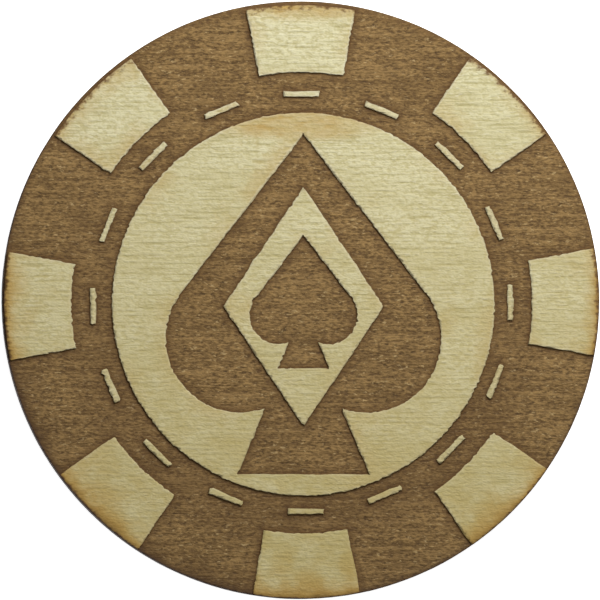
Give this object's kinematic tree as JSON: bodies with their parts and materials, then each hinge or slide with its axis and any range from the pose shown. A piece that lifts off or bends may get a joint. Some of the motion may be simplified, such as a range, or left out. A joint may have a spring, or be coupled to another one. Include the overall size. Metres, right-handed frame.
{
  "type": "dealer button",
  "caption": "Flat round wooden dealer button with laser-engraved chip edge spots, a dashed ring and a card-suit emblem.",
  "frame": {"origin": "centre of the round underside, on the plane the button rests on", "axes": "+Z out of the engraved face, +Y towards the tip of the spade in the emblem, +X to its right, along the grain of the face and back plies"},
  "size_m": [0.0508, 0.0508, 0.003],
  "materials": {
    "face_veneer": "bare birch veneer, laser engraved to a mottled mid brown below the surface, with burnt outlines and a scorched rim",
    "core_veneer": "birch veneer with its grain across the faces, showing only as the charred cut wall",
    "back_veneer": "bare birch veneer, scorched along the cut edge",
    "glue": "cured resin glue, charred where the laser cut through it"
  },
  "bodies": {
    "root": {"face_ply": "face_veneer", "upper_glue_line": "glue", "core_ply": "core_veneer", "lower_glue_line": "glue", "back_ply": "back_veneer"}
  },
  "joints": []
}
